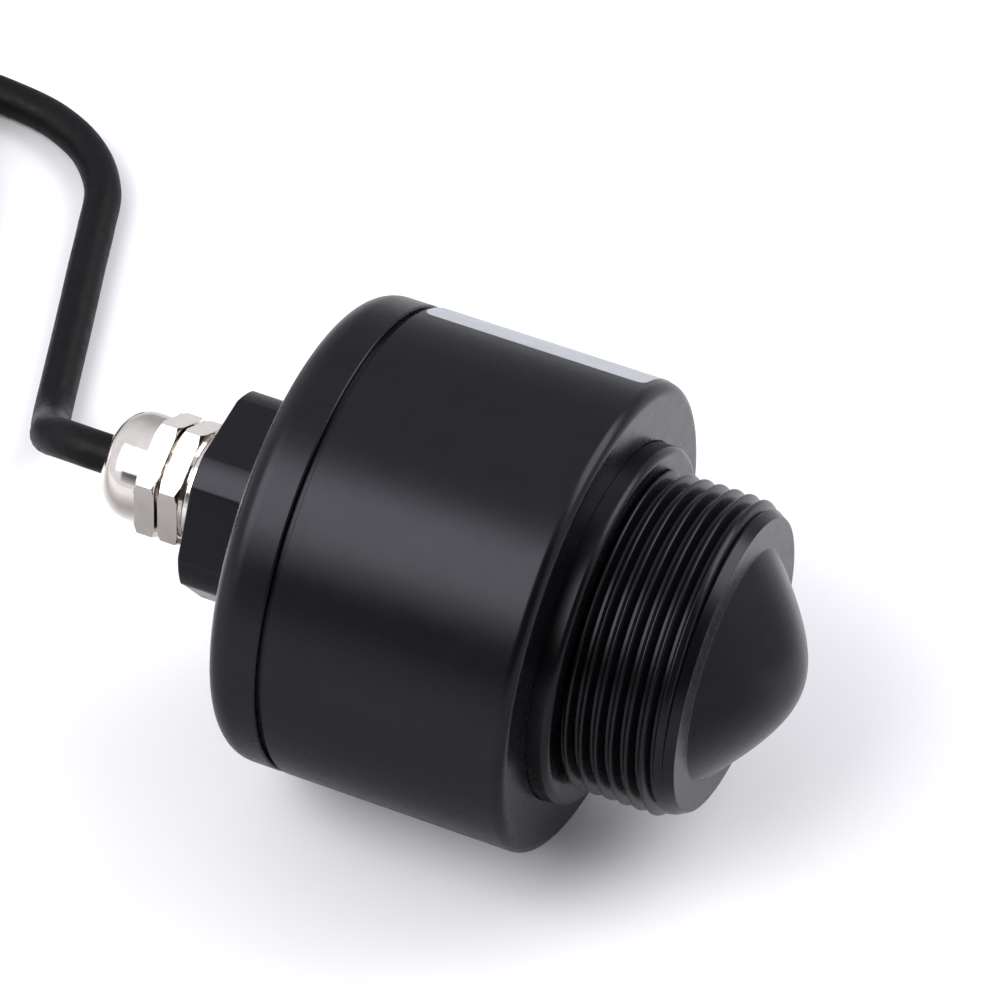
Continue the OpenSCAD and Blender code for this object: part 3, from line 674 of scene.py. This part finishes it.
class SENSOR_OT_housing(bpy.types.Operator):
    """Models the housing: the drum with its front wall"""

    bl_idname = "sensor.housing"
    bl_label = "Housing"

    def execute(self, context):
        size, nose = sizes("housing_sizes"), sizes("nose_sizes")
        bore = BODY_R - size.wall
        inside = BODY_L - size.front_wall
        seat = BODY_L - nose.seat
        mouth_r = nose.collar_d / 2 + PLAY
        hole_r = NECK_R + WIDE_PLAY
        drum = turned("housing_shell", [
            (0, bore), (0, BODY_R - size.seam_edge), (size.seam_edge, BODY_R),
            (BODY_L, BODY_R, size.front_round), (BODY_L, mouth_r, 0.15), (seat, mouth_r),
            (seat, hole_r), (inside, hole_r), (inside, bore),
        ])
        ease_edges(drum, width=0.04)
        smooth(drum)
        settle(drum, "satin_black", "housing")
        return {"FINISHED"}


class SENSOR_OT_rear_cap(bpy.types.Operator):
    """Models the cap with its spigot and its wrench boss of six milled flats"""

    bl_idname = "sensor.rear_cap"
    bl_label = "Rear cap"

    def execute(self, context):
        size, gland = sizes("housing_sizes"), sizes("gland_sizes")
        rear = -size.seam - size.cap
        groove_r = BODY_R - size.seam
        spigot_r, spigot_end = BODY_R - size.wall - WIDE_PLAY, 7
        hollow_r, hollow_rear = spigot_r - 3, rear + 4
        hole_r = gland.stub_d / 2 + PLAY
        cap = turned("cap_disc", [
            (rear, hole_r), (rear, BODY_R, size.cap_round), (-size.seam, BODY_R, size.cap_chamfer),
            (-size.seam, groove_r), (0, groove_r), (0, spigot_r),
            (spigot_end, spigot_r), (spigot_end, hollow_r),
            (hollow_rear, hollow_r), (hollow_rear, hole_r),
        ])
        ease_edges(cap, width=0.06)
        boss_r, boss_rear, boss_front = size.boss_d / 2, rear - size.boss_length, rear + OVERLAP
        boss = turned("boss", [
            (boss_rear, hole_r), (boss_rear, boss_r), (boss_front, boss_r), (boss_front, hole_r),
        ])
        mill_flats(boss, size.boss_across, size.boss_turn)
        ease_edges(boss, width=0.4, segments=3)
        piece = join("rear_cap_shell", cap, boss)
        smooth(piece)
        settle(piece, "satin_black", "rear_cap")
        return {"FINISHED"}


class SENSOR_OT_label(bpy.types.Operator):
    """Gives the blank label its film"""

    bl_idname = "sensor.label"
    bl_label = "Label"

    def execute(self, context):
        coat(frame["nodes"]["blank_label"], "label_film")
        return {"FINISHED"}


# Nose

# How steep the thread's flanks and the lead-in cone are
FLANK_SLOPE = math.tan(math.radians(27.5))
LEAD_IN_SLOPE = math.tan(math.radians(30))

# Steps of the helix to a turn, and in how many of them the ridge grows out of the core
TURN_STEPS = 144
GROWTH_STEPS = 4

# How far the ridge reaches into the core, and how far it keeps inside the cone and the face
RIDGE_FOOT = 0.4
CONE_PLAY = 0.02
FACE_PLAY = 0.05

# Parts of the ridge's height: its first rise, the foot that keeps its place, and where the
# crest begins
FIRST_RISE = 0.06
FOOT_SHARE = 0.01
CREST_SHARE = 0.9


def lens_profile(size, steps=40, crowding=1.7, fillet=0.3):
    """The lens from its foot, which has a small fillet, to its tip, where its points crowd.

    It is a hyperbola through both radii and the height.
    """
    foot_r, height, tip_r = size.lens_d / 2, size.lens_h, size.lens_tip_r
    stretch = (foot_r ** 2 - 2 * tip_r * height) / height ** 2
    tip = BODY_L + size.nose + height
    points = []
    for k in range(steps + 1):
        h = height * (1 - k / steps) ** crowding
        points.append((tip - h, math.sqrt(2 * tip_r * h + stretch * h * h)))
    points[0] = (*points[0], fillet)
    return points


def ridge_section(size):
    """The ridge's foot as a radius, its height above that, and half its width there."""
    height = size.depth + RIDGE_FOOT
    foot_r = size.thread_d / 2 - size.depth - RIDGE_FOOT
    return foot_r, height, size.crest / 2 + height * FLANK_SLOPE


def first_turn(size):
    """The station of the middle of the thread's first turn."""
    return BODY_L + size.collar + size.run_out


def thread_ridge(size):
    """The ridge of the pipe thread: a section with a round crest, swept as a right-hand helix."""
    foot_r, height, half = ridge_section(size)
    crest = (size.crest / 2, foot_r + height, size.crest_round)
    section = rounded([(-half, foot_r), (-crest[0], *crest[1:]), crest, (half, foot_r)])
    ridge = draw_line("thread_ridge", [Vector((p.x, 0, p.y)) * MM for p in section])
    bpy.ops.mesh.edge_face_add()
    bpy.ops.mesh.delete(type="ONLY_FACE")
    bpy.ops.object.mode_set(mode="OBJECT")
    end = BODY_L + size.nose - size.last_turn
    count = math.floor((end - first_turn(size)) / size.pitch * TURN_STEPS)
    turns = count / TURN_STEPS
    apply_modifier(
        ridge, "SCREW", axis="X", angle=2 * math.pi * turns, screw_offset=size.pitch * MM * turns,
        steps=count, render_steps=count, use_normal_calculate=False,
    )
    return ridge


def shape_thread(ridge, size):
    """Lets the ridge grow out of the core, end at the lead-in cone, and lie in its place."""
    foot_r, height, half = ridge_section(size)
    start, face = first_turn(size), BODY_L + size.nose

    def cone(station):
        """The radius under which the ridge stays at a station, near the nose's face."""
        return size.face_d / 2 - CONE_PLAY + (face - station) * LEAD_IN_SLOPE

    for vertex in ridge.data.vertices:
        x, radius = vertex.co.x / MM, math.hypot(vertex.co.y, vertex.co.z) / MM
        turn = math.atan2(-vertex.co.y, vertex.co.z) / 2 / math.pi
        turns = round(x / size.pitch - turn) + turn
        middle = size.pitch * turns
        rise = min(1, max(0, turns * TURN_STEPS) / GROWTH_STEPS + FIRST_RISE)
        grown = math.sqrt(1 - (1 - rise) ** 2)
        tall = min(foot_r + height * grown, cone(start + middle)) - foot_r
        share = (radius - foot_r) / height
        offset = x - middle
        if share > CREST_SHARE:
            wide = abs(offset) + (1 - tall / height) * (half - size.crest / 2) * share
        else:
            wide = half - tall * FLANK_SLOPE * share
        if share > FOOT_SHARE:
            offset = math.copysign(wide, offset)
        station = min(start + middle + offset, face - FACE_PLAY)
        top = max(foot_r, min(foot_r + tall * share, cone(station)))
        across = Vector(vertex.co.yz) / radius * top
        vertex.co = ((station - start) * MM, *across)
    ridge.data.transform(
        Matrix.Translation(at(start, 0)) @ Matrix.Rotation(size.start, 4, "X")
    )


def close_ends(ridge):
    """Closes both ends of the ridge."""
    select_only(ridge)
    bpy.ops.object.mode_set(mode="EDIT")
    bpy.ops.mesh.select_all(action="SELECT")
    bpy.ops.mesh.remove_doubles(threshold=MERGE_GAP)
    bpy.ops.mesh.select_all(action="DESELECT")
    bpy.ops.mesh.select_non_manifold()
    bpy.ops.mesh.fill()
    tidy_up()
    bpy.ops.object.mode_set(mode="OBJECT")


class SENSOR_OT_nose(bpy.types.Operator):
    """Models the nose: collar, pipe thread and lens in one moulding"""

    bl_idname = "sensor.nose"
    bl_label = "Nose"

    def execute(self, context):
        size = sizes("nose_sizes")
        core_r = size.thread_d / 2 - size.depth
        collar_r, face_r = size.collar_d / 2, size.face_d / 2
        seat, collar, face = BODY_L - size.seat, BODY_L + size.collar, BODY_L + size.nose
        lead_in, lead_in_r = face - size.lead_in, face_r + size.lead_in * LEAD_IN_SLOPE
        flank = lead_in - (lead_in_r - core_r) * FLANK_SLOPE
        neck_rear = BODY_L - 10
        hollow_end, hollow_r = face - 6, NECK_R - 3
        near_axis = 0.001
        moulding = turned("nose_moulding", [
            (neck_rear, hollow_r), (neck_rear, NECK_R), (seat, NECK_R), (seat, collar_r),
            (collar, collar_r, size.collar_round), (collar, core_r, 0.35),
            (flank, core_r), (lead_in, lead_in_r), (face, face_r, 0.1),
            *lens_profile(size), (hollow_end, near_axis), (hollow_end, hollow_r),
        ])
        ridge = thread_ridge(size)
        shape_thread(ridge, size)
        close_ends(ridge)
        piece = join("nose_moulding", moulding, ridge)
        smooth(piece, angle=38)
        settle(piece, "satin_black", "antenna_nose")
        return {"FINISHED"}


# Gland

# Thickness of the gasket under the shoulder
GASKET = 0.8
# How far a hexagon's end faces reach past its flats, and the turned blank past its corners
HEX_END = 0.6
HEX_BLANK = 0.01


def hex_ring(name, size, low, high, bore, turn):
    """A hexagon whose corners are turned off at both ends and whose edges are eased."""
    slope = math.radians(30)
    corner_r = size.across / 2 / math.cos(slope) + HEX_BLANK
    end_r = size.across / 2 + HEX_END
    drop = (corner_r - end_r) * math.tan(slope)
    piece = turned(name, [
        (low, bore), (low, end_r), (low + drop, corner_r),
        (high - drop, corner_r), (high, end_r), (high, bore),
    ])
    mill_flats(piece, size.across, turn)
    ease_edges(piece, width=0.16, segments=3)
    return piece


class SENSOR_OT_gland(bpy.types.Operator):
    """Models the cable gland: body, shoulder and dome nut"""

    bl_idname = "sensor.gland"
    bl_label = "Gland"

    def execute(self, context):
        size = sizes("gland_sizes")
        bore = sizes("cable_sizes").diameter / 2 + WIDE_PLAY
        self.body(size, bore)
        self.nut(size, bore)
        return {"FINISHED"}

    def body(self, size, bore):
        """The hexagon, the round shoulder and the threaded stub."""
        low, high = (station_of(end[0]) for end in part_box("gland_body"))
        shoulder = station_of(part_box("rear_cap")[0][0]) - GASKET
        hex_front = shoulder - size.shoulder
        hex_rear = hex_front - size.body_hexagon
        stub_r, shoulder_r = size.stub_d / 2, size.shoulder_d / 2
        thread_r, seat_r = 6.6, 4.65
        groove = 0.5
        core, core_r = hex_rear + 1, shoulder_r - groove
        barrel = turned("gland_barrel", [
            (low, seat_r), (low, thread_r, 0.4), (core, thread_r), (core, core_r),
            (hex_front + groove * 0.6, core_r), (hex_front + groove, shoulder_r, 0.45),
            (shoulder, shoulder_r, 0.6), (shoulder, stub_r), (high, stub_r, 0.6),
            (high, bore), (hex_front, bore), (hex_front, seat_r),
        ])
        flats = hex_ring("gland_flats", size, hex_rear, hex_front, thread_r, size.body_turn)
        piece = join("gland_body_shell", barrel, flats)
        smooth(piece)
        settle(piece, "nickel_plate", "gland_body")

    def nut(self, size, bore):
        """The dome, from the mouth to the nut's hexagon."""
        mouth, front = (station_of(end[0]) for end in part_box("gland_nut"))
        dome_front = front - size.nut_hexagon
        dome_r, end_r = size.dome_d / 2, size.dome_end_d / 2
        thread_r, straight = 6.75, 2.4
        reach = dome_front - mouth - straight
        arc = []
        for degrees in range(6, 91, 6):
            angle = math.radians(degrees)
            arc.append((
                mouth + reach * (1 - math.cos(angle)),
                end_r + (dome_r - end_r) * math.sin(angle),
            ))
        # Inside, from the mouth: its lip, the cone that closes the collet, and the thread
        lip, cone, thread = mouth + 1.2, mouth + 1.6, mouth + 4.4
        dome = turned("gland_dome", [
            (lip, bore), (mouth + 0.25, bore, 0.3), (mouth, bore + 0.4), (mouth, end_r), *arc,
            (dome_front + OVERLAP, dome_r), (dome_front + OVERLAP, thread_r),
            (thread, thread_r), (cone, bore + 1),
        ])
        flats = hex_ring("nut_flats", size, dome_front, front, thread_r, size.nut_turn)
        piece = join("gland_nut_shell", dome, flats)
        smooth(piece)
        settle(piece, "nickel_plate", "gland_nut")


# What stays as the frame has it

class SENSOR_OT_inner_pieces(bpy.types.Operator):
    """Gives the seals, boards, posts, cores and the other inner pieces their finishes"""

    bl_idname = "sensor.inner_pieces"
    bl_label = "Inner pieces"

    def execute(self, context):
        for entry in frame["record"]["subparts"]:
            coat(frame["nodes"][entry["node"]], entry["material_slot"])
        return {"FINISHED"}


# Stage

# Name, direction from the sensor, then distance, width and height in metres, and brightness
SOFT_BOXES = (
    ("left_box", (-0.44, -0.508, 0.740), 1.35, 1.32, 1.18, 2.0),
    ("left_box_core", (-0.44, -0.49, 0.752), 1.3, 1.15, 0.7, 2.9),
    ("right_box", (0.45, 0.56, 0.70), 1.4, 1.05, 1.05, 3.8),
)

# Painted shade on the floor, which only reflections show: how bright the floor's colour stays,
# from the front, along Y in metres, to the back
FLOOR_FRONT, FLOOR_BACK = -0.15, 0.35
FLOOR_SHADE_LEVELS = (
    (-0.12, 0.72), (-0.046, 0.42), (-0.034, 0.4), (0.005, 1.0),
    (0.07, 1.0), (0.12, 0.6), (0.3, 0.52),
)

# The middle of the dark part of the surroundings, as a direction
DARK_FRONT = (0.352, -0.754, 0.553)


def soft_box(name, way, distance, width, height, brightness):
    """A large soft light that faces the sensor from a direction, its width along the sensor."""
    out = Vector(way).normalized()
    along = (Vector((1, 0, 0)) - out * out.x).normalized()
    deselect()
    bpy.ops.object.light_add(type="AREA", location=out * distance)
    light = bpy.context.object
    light.name = name
    light.data.shape = "RECTANGLE"
    light.data.size, light.data.size_y = width, height
    light.data.energy = brightness * math.pi * width * height
    light.rotation_euler = Matrix((along, out.cross(along), out)).transposed().to_euler()
    light.visible_camera = False


class SENSOR_OT_stage(bpy.types.Operator):
    """Makes the plain pale floor, whose reflections show painted shade, and the soft studio lights
    """

    bl_idname = "sensor.stage"
    bl_label = "Stage"

    def execute(self, context):
        deselect()
        bpy.ops.mesh.primitive_circle_add(
            vertices=96, radius=4, fill_type="NGON", location=(0, 0, -0.0002),
        )
        floor = context.object
        floor.name = "floor"
        bpy.ops.object.transform_apply(location=True)
        material, tree, shader = new_material("pale_floor")
        pale = tint(tree, noise(tree, 6), sizes("finishes").floor, 0.99, 1.0)
        # The floor's colour carries painted shade that only reflections show
        tree.links.new(self.flagged(tree, pale), shader.inputs["Base Color"])
        shader.inputs["Roughness"].default_value = 0.9
        shader.inputs["Specular IOR Level"].default_value = 0.1
        floor.data.materials.append(material)

        for box in SOFT_BOXES:
            soft_box(*box)

        world = bpy.data.worlds.new("studio")
        context.scene.world = world
        world.use_nodes = True
        self.surroundings(world.node_tree)
        context.scene.view_settings.view_transform = "Standard"
        return {"FINISHED"}

    def flagged(self, tree, pale):
        """The floor's colour, with painted shade that only reflections show: dimmed along Y where
        it mirrors in the sensor.
        """
        where = tree.nodes.new("ShaderNodeTexCoord")
        split = tree.nodes.new("ShaderNodeSeparateXYZ")
        tree.links.new(where.outputs["Object"], split.inputs["Vector"])
        along = spread(tree, split.outputs["Y"], 0, 1, from_low=FLOOR_FRONT, from_high=FLOOR_BACK)
        ramp = tree.nodes.new("ShaderNodeValToRGB")
        reach = FLOOR_BACK - FLOOR_FRONT
        stops = [((y - FLOOR_FRONT) / reach, level) for y, level in FLOOR_SHADE_LEVELS]
        for place, _ in stops[1:-1]:
            ramp.color_ramp.elements.new(place)
        for element, (place, level) in zip(ramp.color_ramp.elements, stops):
            element.position = place
            element.color = (level, level, level, 1)
        tree.links.new(along, ramp.inputs["Fac"])
        ray = tree.nodes.new("ShaderNodeLightPath")
        mix = tree.nodes.new("ShaderNodeMix")
        mix.data_type, mix.blend_type = "RGBA", "MULTIPLY"
        # Painted shade: glossy rays see the floor's colour dimmed, other rays see it plain
        tree.links.new(ray.outputs["Is Glossy Ray"], mix.inputs["Factor"])
        # Its sockets for colours share their names with others, so they go by number
        tree.links.new(pale, mix.inputs[6])
        tree.links.new(ramp.outputs["Color"], mix.inputs[7])
        return mix.outputs[2]

    def surroundings(self, tree):
        """Plain white to the camera; for the sensor pale, but dark in front and dim behind."""
        plain = tree.nodes["Background"]
        plain.inputs["Color"].default_value = (1, 1, 1, 1)
        plain.inputs["Strength"].default_value = 1.0
        where = tree.nodes.new("ShaderNodeTexCoord")
        towards = tree.nodes.new("ShaderNodeVectorMath")
        towards.operation = "DOT_PRODUCT"
        towards.inputs[1].default_value = DARK_FRONT
        tree.links.new(where.outputs["Generated"], towards.inputs[0])
        split = tree.nodes.new("ShaderNodeSeparateXYZ")
        tree.links.new(where.outputs["Generated"], split.inputs["Vector"])
        front = spread(tree, towards.outputs["Value"], 0, 1, from_low=0.6, from_high=0.74)
        above = spread(tree, split.outputs["Z"], 0, 1, from_low=0.08, from_high=0.12)
        behind = spread(tree, split.outputs["Y"], 1, 0.5, from_low=0.45, from_high=0.9)
        pale = spread(tree, product(tree, front, above), 0.95, 0.05, from_low=0, from_high=1)
        around = tree.nodes.new("ShaderNodeBackground")
        around.inputs["Color"].default_value = (0.93, 0.93, 1.0, 1)
        tree.links.new(product(tree, pale, behind), around.inputs["Strength"])
        ray = tree.nodes.new("ShaderNodeLightPath")
        mix = tree.nodes.new("ShaderNodeMixShader")
        tree.links.new(ray.outputs["Is Camera Ray"], mix.inputs["Fac"])
        tree.links.new(around.outputs["Background"], mix.inputs[1])
        tree.links.new(plain.outputs["Background"], mix.inputs[2])
        tree.links.new(mix.outputs["Shader"], tree.nodes["World Output"].inputs["Surface"])


OPERATORS = (
    SENSOR_OT_camera,
    SENSOR_OT_cable,
    SENSOR_OT_housing,
    SENSOR_OT_rear_cap,
    SENSOR_OT_label,
    SENSOR_OT_nose,
    SENSOR_OT_gland,
    SENSOR_OT_inner_pieces,
    SENSOR_OT_stage,
)

GROUPS = {
    "housing_sizes": HousingSizes,
    "nose_sizes": NoseSizes,
    "gland_sizes": GlandSizes,
    "cable_sizes": CableSizes,
    "finishes": Finishes,
}


class SENSOR_PT_panel(bpy.types.Panel):
    """Lists the sensor's pieces, sizes and finishes"""

    bl_idname = "SENSOR_PT_panel"
    bl_label = "Radar level sensor"
    bl_space_type = "VIEW_3D"
    bl_region_type = "UI"
    bl_category = "Sensor"

    def draw(self, context):
        """A button for each operator, and a box for each group of settings."""
        for operator in OPERATORS:
            self.layout.operator(operator.bl_idname)
        for name in GROUPS:
            box = self.layout.box()
            group = sizes(name)
            for key in group.bl_rna.properties.keys():
                if key not in {"rna_type", "name"}:
                    box.prop(group, key)


def register():
    """Makes the settings, the operators and the panel known."""
    for group in GROUPS.values():
        bpy.utils.register_class(group)
    for name, group in GROUPS.items():
        setattr(bpy.types.Scene, name, PointerProperty(type=group))
    for operator in OPERATORS:
        bpy.utils.register_class(operator)
    bpy.utils.register_class(SENSOR_PT_panel)


def unregister():
    """Takes the panel, the operators and the settings away again."""
    bpy.utils.unregister_class(SENSOR_PT_panel)
    for operator in reversed(OPERATORS):
        bpy.utils.unregister_class(operator)
    for name, group in GROUPS.items():
        delattr(bpy.types.Scene, name)
        bpy.utils.unregister_class(group)


def main():
    """Models the sensor on its stage."""
    register()
    bpy.ops.sensor.camera()
    bpy.ops.sensor.cable()
    bpy.ops.sensor.housing()
    bpy.ops.sensor.rear_cap()
    bpy.ops.sensor.label()
    bpy.ops.sensor.nose()
    bpy.ops.sensor.gland()
    bpy.ops.sensor.inner_pieces()
    bpy.ops.sensor.stage()
    deselect()


if __name__ == "__main__":
    main()
